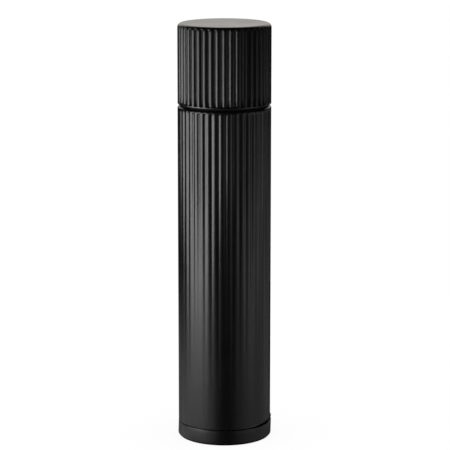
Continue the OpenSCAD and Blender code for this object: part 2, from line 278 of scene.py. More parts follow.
def node(tree, kind, links=(), **settings):
    """A shader node with its settings, and links to its inputs by name or number. A setting
    whose name is an input's, with _ for spaces, sets that input."""
    made = tree.nodes.new("ShaderNode" + kind)
    for key, value in settings.items():
        if hasattr(made, key):
            setattr(made, key, value)
        else:
            made.inputs[key.replace("_", " ")].default_value = value
    for key, source in dict(links).items():
        tree.links.new(source, made.inputs[key])
    return made


def grain_group():
    """Fine grain of a fired, moulded or cured surface. Puts out the height of pimples on a slow
    orange peel, a cloud mask that drifts over the piece, and a mask of lighter specks."""
    tree, start, end = group(
        "surface_grain", [("Grain", "NodeSocketFloat", 2600.0), ("Peel", "NodeSocketFloat", 420.0)],
        [("Height", "NodeSocketFloat"), ("Cloud", "NodeSocketFloat"), ("Speck", "NodeSocketFloat")])
    spot = node(tree, "TexCoord").outputs["Object"]
    grain = node(tree, "TexNoise", {"Vector": spot, "Scale": start.outputs["Grain"]},
                 Detail=2.0, Roughness=0.6)
    peel = node(tree, "TexNoise", {"Vector": spot, "Scale": start.outputs["Peel"]},
                Detail=1.0, Roughness=0.4)
    drift = node(tree, "TexNoise", {"Vector": spot}, Scale=38.0, Detail=3.0)
    both = node(tree, "Math", {0: peel.outputs[0], 1: grain.outputs[0]}, operation="ADD")
    cloud = node(tree, "MapRange", {0: drift.outputs[0]}, From_Min=0.3, From_Max=0.7)
    speck = node(tree, "MapRange", {0: grain.outputs[0]}, From_Min=0.6, From_Max=0.75)
    for label, source in (("Height", both), ("Cloud", cloud), ("Speck", speck)):
        tree.links.new(source.outputs[0], end.inputs[label])
    return tree


grain_tree = grain_group()


def finish(name, **settings):
    """A material with one Principled shader; the settings are its inputs."""
    made = bpy.data.materials.new(name)
    made.use_nodes = True
    shader = made.node_tree.nodes["Principled BSDF"]
    for key, value in settings.items():
        shader.inputs[key.replace("_", " ")].default_value = value
    return made, made.node_tree, shader


def bump(tree, shader, height, strength, distance):
    """Links a height to the shader's normal."""
    lift = node(tree, "Bump", {"Height": height}, Strength=strength, Distance=distance)
    tree.links.new(lift.outputs[0], shader.inputs["Normal"])


def grained(name, dark, light, rough, grain, peel, lift, **settings):
    """A skin of one colour family: specks turn dark into light, the cloud moves the roughness
    between the two values of rough, and grain of lift metres stands on it."""
    made, tree, shader = finish(name, **settings)
    skin_grain = node(tree, "Group", node_tree=grain_tree, Grain=grain, Peel=peel)
    tint = node(tree, "Mix", {0: skin_grain.outputs["Speck"]}, data_type="RGBA")
    tint.inputs["A"].default_value = (*dark, 1)
    tint.inputs["B"].default_value = (*light, 1)
    gloss = node(tree, "MapRange", {0: skin_grain.outputs["Cloud"]},
                 To_Min=rough[0], To_Max=rough[1])
    tree.links.new(tint.outputs["Result"], shader.inputs["Base Color"])
    tree.links.new(gloss.outputs[0], shader.inputs["Roughness"])
    bump(tree, shader, skin_grain.outputs["Height"], 0.35, lift)
    return made


def turned_group():
    """Marks of turning and drawing: fine scratches round the axis, which depend on the height
    and only slowly on x and y. Puts out their height and a streak mask."""
    tree, start, end = group("turned_lines", [("Fineness", "NodeSocketFloat", 1.0)],
                             [("Height", "NodeSocketFloat"), ("Streak", "NodeSocketFloat")])
    spot = node(tree, "TexCoord").outputs["Object"]
    squeezed = node(tree, "Mapping", {"Vector": spot}, Scale=(14, 14, 5200))
    lines = node(tree, "TexNoise", {"Vector": squeezed.outputs[0],
                                    "Scale": start.outputs["Fineness"]}, Detail=3.0)
    streak = node(tree, "MapRange", {0: lines.outputs[0]}, From_Min=0.3, From_Max=0.7)
    tree.links.new(lines.outputs[0], end.inputs["Height"])
    tree.links.new(streak.outputs[0], end.inputs["Streak"])
    return tree


turned_tree = turned_group()


def metal(name, colour, rough, fineness):
    """Bare metal with turning marks: the streaks move its roughness between two values."""
    made, tree, shader = finish(name, Metallic=1.0)
    lines = node(tree, "Group", node_tree=turned_tree, Fineness=fineness)
    tint = node(tree, "Mix", {0: lines.outputs["Streak"]}, data_type="RGBA")
    tint.inputs["A"].default_value = (*colour, 1)
    tint.inputs["B"].default_value = (*[0.88 * c for c in colour], 1)
    gloss = node(tree, "MapRange", {0: lines.outputs["Streak"]}, To_Min=rough[0], To_Max=rough[1])
    tree.links.new(tint.outputs["Result"], shader.inputs["Base Color"])
    tree.links.new(gloss.outputs[0], shader.inputs["Roughness"])
    bump(tree, shader, lines.outputs["Height"], 0.25, 0.01 * MM)
    return made


black_coat = grained("black_powder_coat", (0.0016, 0.0016, 0.0017), (0.004, 0.004, 0.0042),
                     (0.30, 0.36), 850, 300, 0.12 * MM, IOR=1.5)
steel = metal("drawn_steel", (0.60, 0.61, 0.62), (0.22, 0.38), 1.0)


def place(piece, body, node_name, slot_name, *finishes):
    """Gives a piece its materials and its body, and hides the CAD node that it stands for. slot_name
    is not used.
    """
    for made in finishes:
        piece.data.materials.append(made)
    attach(piece, body)
    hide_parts(node_name)


def bare(piece, coated):
    """Gives the piece's second material to the faces whose middles coated(r, z) refuses."""
    middle = np.zeros(len(piece.data.polygons) * 3)
    piece.data.polygons.foreach_get("center", middle)
    x, y, z = middle.reshape(-1, 3).T
    piece.data.polygons.foreach_set("material_index", (~coated(np.hypot(x, y), z)).astype(int))


def on_wall_or_shoulder(r, z):
    """True outside the skirt's radius, and on the flat of the shoulder outside the neck's fillet."""
    on_shoulder = (abs(z - shoulder_z) < 0.5 * MM) & (r > neck_r + 0.5 * MM)
    return (r > skirt_r - 0.05 * MM) | on_shoulder


place(body_shell, "root", "outer_shell", "black_coat", black_coat, steel)
bare(body_shell, on_wall_or_shoulder)


# ---------------------------------------------------------------------------------------------
# Base cover. A smooth black pressing pushed over the skirt, a little proud of the wall, with a
# fine chamfer at the table and a recess underneath for the foot.

cover_low, cover_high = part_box("base_cover")
foot_low, foot_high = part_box("base_foot")
cover_r = cover_high.x
recess_r = foot_high.x + 0.3 * MM
cover_floor = foot_high.z + 1.6 * MM
lip_in_r = cover_r - 0.7 * MM
lip_foot = cover_high.z - 3 * MM
cover_in_r = skirt_r + 0.5 * MM
cover_outline = rounded([
    (0, foot_high.z, 0), (recess_r, foot_high.z, 0), (recess_r, cover_low.z, 0.2 * MM),
    (cover_r - MM, cover_low.z, 0.5 * MM), (cover_r, cover_low.z + 1.2 * MM, 0.8 * MM),
    (cover_r, lip_foot, 0), (cover_r, cover_high.z, 0.3 * MM), (lip_in_r, cover_high.z, 0.3 * MM),
    (lip_in_r, lip_foot, 0.2 * MM), (cover_in_r, lip_foot - 0.5 * MM, 0.2 * MM),
    (cover_in_r, cover_floor, 0.4 * MM), (0, cover_floor, 0)], 6)


def crept(grid):
    """The cover as it sits: it leans to +X by an amount that grows evenly up to its top edge."""
    lean = np.array([0.3 * MM, 0, 0])
    share = (grid[..., 2:] - cover_low.z) / (cover_high.z - cover_low.z)
    return grid + share * lean


place(skin("base_cover_skin", crept(revolve(cover_outline))), "root", "base_cover", "black_coat",
      black_coat)


# ---------------------------------------------------------------------------------------------
# Cup shell. Drawn and fluted like the body, but its flutes are deeper and keep their depth from
# the rounded top edge to the thin plain rim. The top is flat. It carries the same black coat.

cup_low, cup_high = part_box("cup_shell")
cup_edge_r = 3 * MM
cup_turn = math.radians(3.8)


def cup_wall():
    """Grid and angles of the cup's wall from just over its rim up over the rounded top edge. The
    flutes have one depth, and stop short of the rim in flat arches of height arch_h."""
    angle, v = flute_columns(flute_turn + cup_turn)
    low_z = cup_low.z + 1.9 * MM
    arch_h = 1.1 * MM
    steepest, land = math.radians(52), 0.84
    z = np.concatenate([np.linspace(low_z - arch_h, low_z, 10, endpoint=False),
                        np.linspace(low_z, cup_high.z - cup_edge_r, 10, endpoint=False)])

    def depth_at(past, height):
        past = past + np.clip((low_z - height) / arch_h, 0, 1)
        return flute_depth(np.sqrt(v**2 + past**2), steepest, land)

    arch = (0.5 * MM, 2.7 * MM)
    return wall_to_edge(angle, z, cup_high.z, cup_edge_r, arch, depth_at), angle


cup_grid, cup_angles = cup_wall()
cup_in_r = body_r - 1.8 * MM
cup_ceiling = cup_high.z - 1.4 * MM
cup_top = np.array([[0, cup_high.z]])
cup_inside = rounded([(0, cup_ceiling, 0), (cup_in_r, cup_ceiling, 1.5 * MM),
                      (cup_in_r, cup_low.z, 0.3 * MM), (body_r, cup_low.z, 0.5 * MM),
                      (body_r, cup_low.z + 0.7 * MM, 0)], 7)
top_to_rim = np.concatenate([cup_top, cup_inside])
cup_loop = np.concatenate([cup_grid, at_angles(top_to_rim, cup_angles)])
place(skin("cup_shell_skin", cup_loop), "cup", "cup_shell", "black_coat", black_coat)


# ---------------------------------------------------------------------------------------------
# Outer bottom, getter and seal bead. A pressed steel disc is welded into the skirt. The well in
# its middle holds the evacuation hole, which a bead of brazing glass closes, and a sintered
# pellet in a little dish on the disc takes up the last gas.

sheet = 0.7 * MM
disc_low, disc_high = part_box("outer_bottom")
well_r = 3.2 * MM
hole_r = 0.8 * MM
disc_outline = rounded([
    (hole_r, disc_high.z - sheet, 0.1 * MM), (well_r, disc_high.z - sheet, 0.3 * MM),
    (well_r, disc_low.z, 0.5 * MM), (disc_high.x, disc_low.z, 0.2 * MM),
    (disc_high.x, disc_low.z + sheet, 0.2 * MM),
    (well_r + sheet, disc_low.z + sheet, 0.3 * MM), (well_r + sheet, disc_high.z, 0.5 * MM),
    (hole_r, disc_high.z, 0.1 * MM)], 6)
place(skin("bottom_disc", revolve(disc_outline)), "root", "outer_bottom", "steel", steel)

bead_low, bead_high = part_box("vacuum_seal")
bead_r = bead_high.x
bead_angle = np.linspace(0, math.pi / 2, 14)[:, None]
bead_arc = np.hstack([bead_r * np.sin(bead_angle),
                      bead_high.z - (bead_high.z - bead_low.z) * np.cos(bead_angle)])
bead_outline = np.concatenate([bead_arc, [[0, bead_high.z]]])
braze, braze_tree, braze_shader = finish("brazing_glass", Roughness=0.14, IOR=1.55)
swirl = node(braze_tree, "TexNoise", {"Vector": node(braze_tree, "TexCoord").outputs["Object"]},
             Scale=900.0, Detail=4.0, Distortion=1.5)
tone = node(braze_tree, "ValToRGB", {0: swirl.outputs[0]})
tone.color_ramp.elements[0].color = (0.16, 0.11, 0.05, 1)
tone.color_ramp.elements[1].color = (0.42, 0.34, 0.20, 1)
braze_tree.links.new(tone.outputs[0], braze_shader.inputs["Base Color"])
bump(braze_tree, braze_shader, swirl.outputs[0], 0.3, 0.05 * MM)
place(skin("seal_bead", revolve(bead_outline, 64)), "root", "vacuum_seal", "braze", braze)


def pores_group():
    """Packed cells, as in foam or sintered powder: the distance to the nearest cell's middle.
    Puts out the height and a mask of the cells' deep edges, used for painted shade between the
    cells."""
    tree, start, end = group("pores", [("Cells", "NodeSocketFloat", 900.0)],
                             [("Height", "NodeSocketFloat"), ("Gap Shade", "NodeSocketFloat")])
    spot = node(tree, "TexCoord").outputs["Object"]
    cells = node(tree, "TexVoronoi", {"Vector": spot, "Scale": start.outputs["Cells"]})
    edge = node(tree, "MapRange", {0: cells.outputs["Distance"]}, From_Min=0.35, From_Max=0.75)
    rise = node(tree, "Math", {1: cells.outputs["Distance"]}, operation="SUBTRACT")
    rise.inputs[0].default_value = 1.0
    tree.links.new(rise.outputs[0], end.inputs["Height"])
    tree.links.new(edge.outputs[0], end.inputs["Gap Shade"])
    return tree


pores_tree = pores_group()


def porous(name, top, deep, cells, lift, **settings):
    """A surface of packed cells: top is its colour, and deep is painted shade between the cells."""
    made, tree, shader = finish(name, **settings)
    pores = node(tree, "Group", node_tree=pores_tree, Cells=cells)
    # Painted shade: the mask of the cells' deep edges turns top into the darker deep colour.
    tint = node(tree, "Mix", {0: pores.outputs["Gap Shade"]}, data_type="RGBA")
    tint.inputs["A"].default_value = (*top, 1)
    tint.inputs["B"].default_value = (*deep, 1)
    tree.links.new(tint.outputs["Result"], shader.inputs["Base Color"])
    bump(tree, shader, pores.outputs["Height"], 0.6, lift)
    return made


pellet_low, pellet_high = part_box("getter")
pellet_x = (pellet_low.x + pellet_high.x) / 2
dish_r = pellet_high.x - pellet_x
dish_z = pellet_low.z + 0.5 * MM
dish_floor = pellet_low.z + 0.2 * MM
dish = rounded([(0, pellet_low.z, 0), (dish_r, pellet_low.z, 0.1 * MM), (dish_r, dish_z, 0.1 * MM),
                (dish_r - 0.35 * MM, dish_z, 0.1 * MM),
                (dish_r - 0.45 * MM, dish_floor, 0.1 * MM), (0, dish_floor, 0)], 5)
pellet_r = 3.1 * MM
pellet_z = pellet_low.z + 0.15 * MM
pellet = rounded([(0, pellet_z, 0), (pellet_r, pellet_z, 0.1 * MM),
                  (pellet_r, pellet_high.z, 0.35 * MM), (0, pellet_high.z, 0)], 6)
beside = np.array([pellet_x, 0, 0])
# Its second colour is painted shade in the hollows between the grains.
sintered = porous("sintered_powder", (0.20, 0.19, 0.18), (0.05, 0.048, 0.045), 5200, 0.05 * MM,
                  Metallic=0.7, Roughness=0.6)
place(skin("getter_pellet", revolve(dish, 72) + beside, revolve(pellet, 72) + beside),
      "root", "getter", "getter_metal", sintered)


# ---------------------------------------------------------------------------------------------
# Inner bottle and foil. The bottle is drawn from stainless sheet, its rim is rolled out over the
# outer neck and welded, and two thread ridges for the stopper are rolled into its mouth. Copper
# foil, lightly creased and lapped along one line, is wrapped round it in the vacuum.

bottle_low, bottle_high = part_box("inner_bottle")
bottle_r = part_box("copper_foil")[1].x - 0.3 * MM
mouth_r = 24.4 * MM
throat_r = mouth_r + sheet + 0.1 * MM
rim_z = bottle_high.z
throat_z = shoulder_z - 7 * MM
bend_z = throat_z - 9 * MM
bottle_outline = rounded([
    (0, bottle_low.z, 0), (bottle_r, bottle_low.z, 7 * MM), (bottle_r, bend_z, 7 * MM),
    (throat_r, throat_z, 4 * MM), (throat_r, rim_z - MM, 0.2 * MM),
    (neck_r, rim_z - MM, 0.2 * MM), (neck_r, rim_z, 0.45 * MM), (mouth_r, rim_z, 0.5 * MM),
    (mouth_r, throat_z - sheet, 3.5 * MM), (bottle_r - sheet, bend_z - 0.3 * MM, 6 * MM),
    (bottle_r - sheet, bottle_low.z + sheet, 6.3 * MM), (0, bottle_low.z + sheet, 0)], 10)
stopper_lead = 8 * MM
stopper_thread_turns = 0.7
mouth_thread_z = rim_z - 11.5 * MM
mouth_thread = [thread(mouth_r, -thread_out, stopper_lead, stopper_thread_turns, turn,
                       mouth_thread_z) for turn in (0, math.pi)]
place(skin("bottle", revolve(bottle_outline), *mouth_thread), "root", "inner_bottle", "steel",
      metal("bottle_steel", (0.62, 0.63, 0.64), (0.18, 0.30), 0.6))


def foil_wrap():
    """Thin sleeve: its outer radius sinks in crossing creases, the cube of the size of
    sin(9a + 160 z) sin(5a - 90 z), and in finer waves of the same kind, and it rises by a step
    where the foil laps over itself. Its inner radius keeps 0.06 mm below."""
    foil_low, foil_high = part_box("copper_foil")
    a = np.linspace(0, 2 * np.pi, 360, endpoint=False)
    z = np.linspace(foil_low.z, foil_high.z, 130)[:, None]
    crease = np.abs(np.sin(9 * a + 160 * z) * np.sin(5 * a - 90 * z)) ** 3
    fine = 0.5 + 0.5 * np.sin(31 * a + 410 * z) * np.sin(23 * a - 260 * z)
    lap = np.clip((a - 4.2) * 200, 0, 1) * np.clip((4.6 - a) * 2.5, 0, 1)
    r = foil_high.x - (0.02 + 0.03 * crease + 0.015 * fine - 0.02 * lap) * MM
    return np.concatenate([spun(r, z, a), spun((r - 0.06 * MM)[::-1], z[::-1], a)])


copper, copper_tree, copper_shader = finish("copper_foil", Metallic=1.0)
rub = node(copper_tree, "TexNoise", {"Vector": node(copper_tree, "TexCoord").outputs["Object"]},
           Scale=70.0, Detail=5.0)
warm = node(copper_tree, "ValToRGB", {0: rub.outputs[0]})
warm.color_ramp.elements[0].color = (0.60, 0.30, 0.17, 1)
warm.color_ramp.elements[1].color = (0.80, 0.49, 0.33, 1)
dull = node(copper_tree, "MapRange", {0: rub.outputs[0]}, To_Min=0.16, To_Max=0.42)
copper_tree.links.new(warm.outputs[0], copper_shader.inputs["Base Color"])
copper_tree.links.new(dull.outputs[0], copper_shader.inputs["Roughness"])
place(skin("foil_wrap", foil_wrap()), "root", "copper_foil", "copper", copper)


# ---------------------------------------------------------------------------------------------
# Foot. A moulded rubber disc pressed into the recess of the base cover. Three fine grooves in its
# contact ring keep it from sliding, and its middle is hollow, so that it doesn't rock.

hollow_r = foot_high.x - 6 * MM
hollow_z = 0.6 * MM
groove_z = 0.4 * MM
foot_corners = [(0, hollow_z, 0), (hollow_r, hollow_z, 0.3 * MM), (hollow_r, foot_low.z, 0.2 * MM)]
for groove in range(3):
    groove_r = hollow_r + (1.2 + 1.35 * groove) * MM
    foot_corners += [(groove_r, foot_low.z, 0.06 * MM), (groove_r + 0.15 * MM, groove_z, 0.08 * MM),
                     (groove_r + 0.5 * MM, groove_z, 0.08 * MM),
                     (groove_r + 0.65 * MM, foot_low.z, 0.06 * MM)]
foot_corners += [(foot_high.x - 0.6 * MM, foot_low.z, 0.3 * MM), (foot_high.x, 0.6 * MM, 0.3 * MM),
                 (foot_high.x, foot_high.z, 0.2 * MM), (0, foot_high.z, 0)]
black_rubber = grained("black_rubber", (0.014, 0.014, 0.015), (0.03, 0.03, 0.031), (0.72, 0.85),
                       1500, 260, 0.05 * MM)
place(skin("foot_disc", revolve(rounded(foot_corners, 4))), "root", "base_foot", "black_rubber",
      black_rubber)


# ---------------------------------------------------------------------------------------------
# Inside of the cup. A moulded liner with the cup's thread is pressed into the shell over a foam
# disc, and a soft black ring under its edge seals the cup on the shoulder.

liner_low, liner_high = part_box("cup_liner")
liner_r = liner_high.x
liner_t = 1.6 * MM
liner_in_r = liner_r - liner_t
liner_outline = rounded([
    (0, liner_high.z - liner_t, 0), (liner_in_r, liner_high.z - liner_t, 3 * MM),
    (liner_in_r, liner_low.z, 0.4 * MM), (liner_r, liner_low.z, 0.3 * MM),
    (liner_r, liner_high.z, 2 * MM), (0, liner_high.z, 0)], 10)
thread_drop = 1.3625 * MM  # how far a screwed-in ridge rides under the ridge that holds it
liner_thread_z = neck_thread_z + cup_lead / 4 - thread_drop
liner_thread = [thread(liner_in_r, -thread_out, cup_lead, cup_thread_turns, turn, liner_thread_z)
                for turn in (math.pi / 2, 3 * math.pi / 2)]
black_plastic = grained("black_polypropylene", (0.020, 0.020, 0.022), (0.036, 0.036, 0.039),
                        (0.42, 0.52), 1800, 300, 0.03 * MM)
place(skin("liner", revolve(liner_outline), *liner_thread), "cup", "cup_liner", "black_plastic",
      black_plastic)

pad_low, pad_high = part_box("cup_insulation")
pad_outline = rounded([(0, pad_low.z, 0), (pad_high.x, pad_low.z, 0.35 * MM),
                       (pad_high.x, pad_high.z, 0.35 * MM), (0, pad_high.z, 0)])
# Its second colour is painted shade in the hollows between the beads.
foam = porous("expanded_foam", (0.78, 0.76, 0.70), (0.46, 0.44, 0.39), 1500, 0.15 * MM,
              Roughness=0.85)
place(skin("foam_pad", revolve(pad_outline)), "cup", "cup_insulation", "foam", foam)

ring_low, ring_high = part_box("cup_seal_ring")
ring_in_r = neck_r + 1.45 * MM
ring_lip_z = ring_low.z + 0.7 * MM
ring_outline = rounded([
    (ring_in_r, ring_lip_z, 0.2 * MM), (ring_in_r + 0.45 * MM, ring_low.z, 0.25 * MM),
    (ring_high.x - 0.45 * MM, ring_low.z, 0.25 * MM),
    (ring_high.x - 0.05 * MM, ring_lip_z, 0.2 * MM),
    (ring_high.x, ring_high.z, 0.25 * MM), (ring_in_r, ring_high.z, 0.25 * MM)], 6)
black_silicone = grained("black_silicone", (0.015, 0.015, 0.016), (0.024, 0.024, 0.025),
                         (0.55, 0.68), 1200, 200, 0.02 * MM)
place(skin("cup_seal_lip", revolve(ring_outline)), "cup_seal", "cup_seal_ring", "black_silicone",
      black_silicone)


# ---------------------------------------------------------------------------------------------
# Stopper body. A moulded plug with two thread ridges and a wide flange. The pour channel runs up
# its middle, and a ring on three arms in the channel guides the stem and seats the spring.

plug_low, plug_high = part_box("stopper_body")
seat_low, seat_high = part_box("stopper_gasket")
deck_z = plug_high.z
flange_r = plug_high.x
flange_z = seat_high.z
plug_r = 22.8 * MM
pocket_r = plug_r - 1.9 * MM
pocket_z = plug_low.z + 2 * MM
channel_r = 9 * MM
channel_out_r = channel_r + 1.4 * MM
guide_z = rim_z - 6 * MM
guide_h = 3 * MM
guide_r = 4.4 * MM
stem_r = 2.3 * MM
guide_in_r = stem_r + 0.25 * MM
plug_outline = rounded([
    (channel_r, plug_low.z, 0.5 * MM), (plug_r, plug_low.z, 1.4 * MM), (plug_r, flange_z, 0.4 * MM),
    (flange_r, flange_z, 0.3 * MM), (flange_r, deck_z, 0.6 * MM), (pocket_r, deck_z, 0.2 * MM),
    (pocket_r, pocket_z, 0.8 * MM), (channel_out_r, pocket_z, 0.8 * MM),
    (channel_out_r, deck_z, 0.2 * MM), (channel_r, deck_z, 0.4 * MM)], 7)
guide_outline = rounded([
    (guide_in_r, guide_z, 0.2 * MM), (guide_r, guide_z, 0.3 * MM),
    (guide_r, guide_z + guide_h, 0.3 * MM), (guide_in_r, guide_z + guide_h, 0.3 * MM)], 5)


def bar(middle, half, round_r, turn=0.0):
    """Round-edged box about middle, turned by turn about z. Every section along x is a superellipse
    of power 8 in y and z, which shrinks towards both ends along a quarter ellipse."""
    s = np.linspace(-1, 1, 29)[:, None]
    end = round_r / half[0]
    deep = np.clip((np.abs(s) - 1 + end) / end, 0, 1)
    shrink = np.sqrt(np.maximum(1 - deep**2, 0))
    a = np.linspace(0, 2 * np.pi, 48, endpoint=False)[None, :]
    y = np.sign(np.cos(a)) * np.abs(np.cos(a)) ** 0.25
    z = np.sign(np.sin(a)) * np.abs(np.sin(a)) ** 0.25
    grid = np.stack([half[0] * s + 0 * a, (half[1] - round_r * (1 - shrink)) * y,
                     (half[2] - round_r * (1 - shrink)) * z], 2)
    grid = tipped(grid) + np.array(middle)
    x, y = grid[..., 0].copy(), grid[..., 1].copy()
    grid[..., 0] = x * math.cos(turn) - y * math.sin(turn)
    grid[..., 1] = x * math.sin(turn) + y * math.cos(turn)
    return grid


arm_from, arm_to = guide_r - 0.6 * MM, channel_r + 0.6 * MM
arm_half_w = 0.8 * MM
arms = [bar(((arm_from + arm_to) / 2, 0, guide_z + guide_h / 2),
            ((arm_to - arm_from) / 2, arm_half_w, guide_h / 2), 0.2 * MM, arm * 2 * math.pi / 3)
        for arm in range(3)]
plug_thread = [thread(plug_r, thread_out, stopper_lead, stopper_thread_turns, turn,
                      mouth_thread_z - thread_drop) for turn in (0, math.pi)]
place(skin("plug", revolve(plug_outline), revolve(guide_outline, 72), *arms, *plug_thread),
      "stopper", "stopper_body", "black_plastic", black_plastic)

fill_low, fill_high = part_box("stopper_insulation")
fill_in_r = channel_out_r + 0.2 * MM
fill_outline = rounded([(fill_in_r, fill_low.z, 0.7 * MM), (fill_high.x, fill_low.z, 0.7 * MM),
                        (fill_high.x, fill_high.z, 0.4 * MM), (fill_in_r, fill_high.z, 0.4 * MM)])
place(skin("foam_ring", revolve(fill_outline)), "stopper", "stopper_insulation", "foam", foam)

gasket_in_r = plug_r + 0.4 * MM
groove_top = seat_low.z + 0.35 * MM
gasket_corners = [(gasket_in_r, groove_top, 0.15 * MM)]
for rib in range(2):
    rib_r = gasket_in_r + (0.9 + 1.4 * rib) * MM
    gasket_corners += [(rib_r - 0.55 * MM, groove_top, 0.1 * MM), (rib_r, seat_low.z, 0.25 * MM),
                       (rib_r + 0.55 * MM, groove_top, 0.1 * MM)]
gasket_corners += [(seat_high.x, groove_top, 0.15 * MM),
                   (seat_high.x, seat_high.z, 0.15 * MM), (gasket_in_r, seat_high.z, 0.15 * MM)]
silicone = grained("pale_silicone", (0.52, 0.52, 0.50), (0.60, 0.60, 0.58), (0.38, 0.5),
                   1100, 180, 0.02 * MM, Subsurface_Weight=0.25, Subsurface_Scale=0.002)
place(skin("gasket", revolve(rounded(gasket_corners, 5))), "stopper_seal", "stopper_gasket",
      "silicone", silicone)


# ---------------------------------------------------------------------------------------------
# Stopper housing. A round moulding welded on the flange. The drink leaves by the wide slot in
# front, air comes in behind, and each release tab stands in a slot at the side.

house_low, house_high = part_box("stopper_housing")
house_r = house_high.x
wall_r = house_r - 1.8 * MM
button_r = 13.1 * MM
collar_r = button_r + 0.3 * MM
deck_top = house_low.z + 1 * MM
roof_z = house_high.z - 1.2 * MM
house_outline = rounded([
    (channel_r, house_low.z, 0.2 * MM), (house_r, house_low.z, 0.3 * MM),
    (house_r, house_high.z, 1.2 * MM), (collar_r, house_high.z, 0.4 * MM),
    (collar_r, roof_z, 0.2 * MM), (wall_r, roof_z, 0.8 * MM),
    (wall_r, deck_top, 0.4 * MM), (channel_r, deck_top, 0.2 * MM)], 8)
housing = skin("housing", revolve(house_outline, 240))


def carve(piece, *cutters):
    """Cuts closed grids out of a piece, keeps the cut as its mesh and marks its sharp edges."""
    knife = skin("knife", *cutters)
    cut = piece.modifiers.new("cut", "BOOLEAN")
    cut.operation = "DIFFERENCE"
    cut.solver = "EXACT"
    cut.object = knife
    shown = bpy.context.evaluated_depsgraph_get()
    piece.data = bpy.data.meshes.new_from_object(piece.evaluated_get(shown))
    piece.modifiers.clear()
    bpy.data.objects.remove(knife)
    piece.data.set_sharp_from_angle(angle=math.radians(35))


def slot_hole(turn, width, low_z, high_z):
    """A cutter through the wall on the side that turn says, of a given width and from low_z to
    high_z, whose corners are round seen from outside."""
    from_r, to_r = house_r - 5.3 * MM, house_r + 1.5 * MM
    return bar(((from_r + to_r) / 2, 0, (low_z + high_z) / 2),
               ((to_r - from_r) / 2, width / 2, (high_z - low_z) / 2), 0.01 * MM, turn)


tab_low, tab_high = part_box("release_tab_right")
tab_play = 0.3 * MM
tab_w = 9 * MM
holes = [slot_hole(-math.pi / 2, 16 * MM, deck_top, deck_top + 4.4 * MM),
         slot_hole(math.pi / 2, 6 * MM, deck_top, deck_top + 2.2 * MM)]
holes += [slot_hole(turn, tab_w + 2 * tab_play, tab_low.z - tab_play, tab_high.z + tab_play)
          for turn in (0, math.pi)]
carve(housing, *holes)
place(housing, "stopper", "stopper_housing", "black_plastic", black_plastic)


# ---------------------------------------------------------------------------------------------
# Release tabs. Small moulded tongues that stand a little out of the housing, with three grip
# ridges on their outer ends.

button_plastic = grained("button_polypropylene", (0.042, 0.042, 0.046), (0.062, 0.062, 0.067),
                         (0.34, 0.44), 1700, 280, 0.025 * MM)
grip_half = 0.3 * MM
tongue_x = tab_high.x - grip_half
for side, turn in (("right", 0.0), ("left", math.pi)):
    tongue = bar(((tab_low.x + tongue_x) / 2, 0, (tab_low.z + tab_high.z) / 2),
                 ((tongue_x - tab_low.x) / 2, tab_w / 2, (tab_high.z - tab_low.z) / 2),
                 0.45 * MM, turn)
    grips = [bar((tab_high.x - grip_half, 0, tab_low.z + rise * MM),
                 (grip_half, tab_w / 2 - 0.9 * MM, 0.22 * MM), 0.2 * MM, turn)
             for rise in (0.75, 1.5, 2.25)]
    place(skin("tab_" + side, tongue, *grips), "tab_" + side, "release_tab_" + side,
          "button_plastic", button_plastic)


# ---------------------------------------------------------------------------------------------
# Push button with its spring, stem and valve. The dished button rides on a steel stem, and a
# lip keeps it in the housing. The spring lifts it, and so the valve disc on the stem's lower end
# closes the pour channel from below with a soft ring.

key_low, key_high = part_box("push_button")
lip_r = key_high.x
ceiling_z = key_high.z - 1.9 * MM
key_in_r = button_r - 1.5 * MM
lip_z = key_low.z + 1.4 * MM
key_outline = rounded([
    (0, ceiling_z, 0), (key_in_r, ceiling_z, 1.0 * MM), (key_in_r, key_low.z, 0.2 * MM),
    (lip_r, key_low.z, 0.3 * MM), (lip_r, lip_z, 0.4 * MM),
    (button_r, lip_z, 0.15 * MM), (button_r, key_high.z, 1.1 * MM),
    (10.6 * MM, key_high.z, 0.8 * MM), (10.1 * MM, key_high.z - 0.5 * MM, 0.6 * MM),
    (0, key_high.z - 0.75 * MM, 0)], 9)
boss_r = 3.6 * MM
boss_in_r = stem_r + 0.05 * MM
boss_z = ceiling_z - 2.4 * MM
boss_top = ceiling_z + 0.2 * MM
boss_outline = rounded([(boss_in_r, boss_z, 0.2 * MM), (boss_r, boss_z, 0.3 * MM),
                        (boss_r, boss_top, 0), (boss_in_r, boss_top, 0)], 4)
place(skin("button", revolve(key_outline), revolve(boss_outline, 72)), "button", "push_button",
      "button_plastic", button_plastic)

coil_low, coil_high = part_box("button_spring")
wire_r = 0.45 * MM


def coil_tube():
    """Wire of radius wire_r along a helix whose pitch eases to almost nothing over its first and
    last turns: the height is the running sum of a trapezoid in the turn angle."""
    turns, per_turn, sides = 5.4, 40, 12
    a = np.linspace(0, turns * 2 * np.pi, int(turns * per_turn))
    near_end = np.minimum(a, a[-1] - a) / (2 * np.pi)
    rise = np.cumsum(0.14 + 0.86 * np.clip((near_end - 0.55) * 2.5, 0, 1))
    rise = (rise - rise[0]) / (rise[-1] - rise[0])
    low_z, high_z = coil_low.z + wire_r, coil_high.z - wire_r
    helix_r = coil_high.x - wire_r
    z = low_z + (high_z - low_z) * rise[:, None]
    b = np.linspace(0, 2 * np.pi, sides, endpoint=False)[None, :]
    return tipped(spun(helix_r + wire_r * np.cos(b), z - wire_r * np.sin(b), a[:, None]))


coil = skin("coil", coil_tube())
place(coil, "stopper", "button_spring", "steel", steel)
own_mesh(coil)

